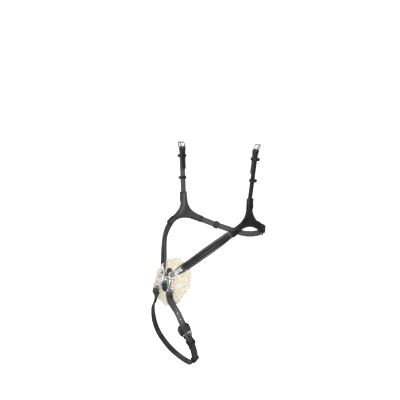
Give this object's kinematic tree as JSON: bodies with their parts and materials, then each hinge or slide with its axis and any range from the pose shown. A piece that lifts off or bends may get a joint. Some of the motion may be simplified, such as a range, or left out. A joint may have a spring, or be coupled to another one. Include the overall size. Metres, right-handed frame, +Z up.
{
  "type": "figure eight noseband",
  "caption": "Leather noseband of a riding bridle whose straps cross at a chrome centre on a fleece nose pad, with a jaw strap above and a buckled chin loop below.",
  "frame": {"origin": "midpoint between the tops of the two cheek buckles, where the bridle's head straps hold the noseband up", "axes": "+X to the wearer's left, -Y to the front of the nose, +Z up"},
  "size_m": [0.2182, 0.2384, 0.4379],
  "materials": {
    "strap_leather": "smooth waxed black with a low sheen",
    "lining_leather": "soft matt black padded lining",
    "fitting_chrome": "polished chrome",
    "buckle_steel": "polished stainless wire",
    "fleece": "cream wool pile"
  },
  "bodies": {
    "noseband": {"centre_backing": "strap_leather", "centre_casting": "fitting_chrome", "centre_rivet": "fitting_chrome", "cheek_keeper_upper_left": "strap_leather", "cheek_keeper_upper_right": "strap_leather", "cheek_strap_left": "strap_leather", "cheek_strap_right": "strap_leather", "fleece_pad": "fleece", "jaw_buckle_frame": "buckle_steel", "jaw_buckle_tongue": "buckle_steel", "jaw_chape": "strap_leather", "jaw_keeper_fixed": "strap_leather", "jaw_strap": "strap_leather", "jowl_lining_left": "lining_leather", "jowl_lining_right": "lining_leather", "jowl_outer_left": "strap_leather", "jowl_outer_right": "strap_leather", "nose_link_left": "fitting_chrome", "nose_link_right": "fitting_chrome", "nose_strap_left": "strap_leather", "nose_strap_lining_left": "lining_leather", "nose_strap_lining_right": "lining_leather", "nose_strap_raised_left": "strap_leather", "nose_strap_raised_right": "strap_leather", "nose_strap_right": "strap_leather"},
    "chin_loop": {"chin_strap": "strap_leather", "chin_billet": "strap_leather", "chin_buckle_frame": "buckle_steel", "chin_buckle_tongue": "buckle_steel", "chin_buckle_safe": "strap_leather", "chin_keeper_fixed": "strap_leather"},
    "chin_slider": {"chin_keeper_sliding": "strap_leather"},
    "jaw_slider": {"jaw_keeper_sliding": "strap_leather"},
    "buckle_left": {"cheek_buckle_frame_left": "buckle_steel"},
    "tongue_left": {"cheek_buckle_tongue_left": "buckle_steel"},
    "cheek_slider_left": {"cheek_keeper_lower_left": "strap_leather"},
    "buckle_right": {"cheek_buckle_frame_right": "buckle_steel"},
    "tongue_right": {"cheek_buckle_tongue_right": "buckle_steel"},
    "cheek_slider_right": {"cheek_keeper_lower_right": "strap_leather"}
  },
  "joints": [
    {"name": "cheek_buckle_hinge_left", "type": "hinge", "parent": "noseband", "child": "buckle_left", "pos_m": [0.10101, -0.00352, -0.00893], "axis": [-0.0929, 0.9945, -0.0474], "range_deg": [-20, 40]},
    {"name": "cheek_tongue_hinge_left", "type": "hinge", "parent": "buckle_left", "child": "tongue_left", "pos_m": [0.10101, -0.00352, -0.00893], "axis": [-0.0929, 0.9945, -0.0474], "range_deg": [0, 80]},
    {"name": "cheek_keeper_slide_left", "type": "slide", "parent": "noseband", "child": "cheek_slider_left", "axis": [-0.1099, -0.0576, -0.9923], "range_m": [-0.008, 0.026]},
    {"name": "cheek_buckle_hinge_right", "type": "hinge", "parent": "noseband", "child": "buckle_right", "pos_m": [-0.10101, -0.00352, -0.00893], "axis": [-0.0929, -0.9945, 0.0474], "range_deg": [-20, 40]},
    {"name": "cheek_tongue_hinge_right", "type": "hinge", "parent": "buckle_right", "child": "tongue_right", "pos_m": [-0.10101, -0.00352, -0.00893], "axis": [-0.0929, -0.9945, 0.0474], "range_deg": [0, 80]},
    {"name": "cheek_keeper_slide_right", "type": "slide", "parent": "noseband", "child": "cheek_slider_right", "axis": [0.1099, -0.0576, -0.9923], "range_m": [-0.013, 0.021]},
    {"name": "chin_loop_swing", "type": "hinge", "parent": "noseband", "child": "chin_loop", "pos_m": [0, -0.15126, -0.27463], "axis": [1, 0, 0], "range_deg": [-60, 2]},
    {"name": "chin_keeper_slide", "type": "slide", "parent": "chin_loop", "child": "chin_slider", "axis": [-0.5106, 0.5066, -0.6948], "range_m": [-0.002, 0.002]},
    {"name": "jaw_keeper_slide", "type": "slide", "parent": "noseband", "child": "jaw_slider", "axis": [0.7054, 0.6235, -0.337], "range_m": [-0.003, 0.003]}
  ]
}
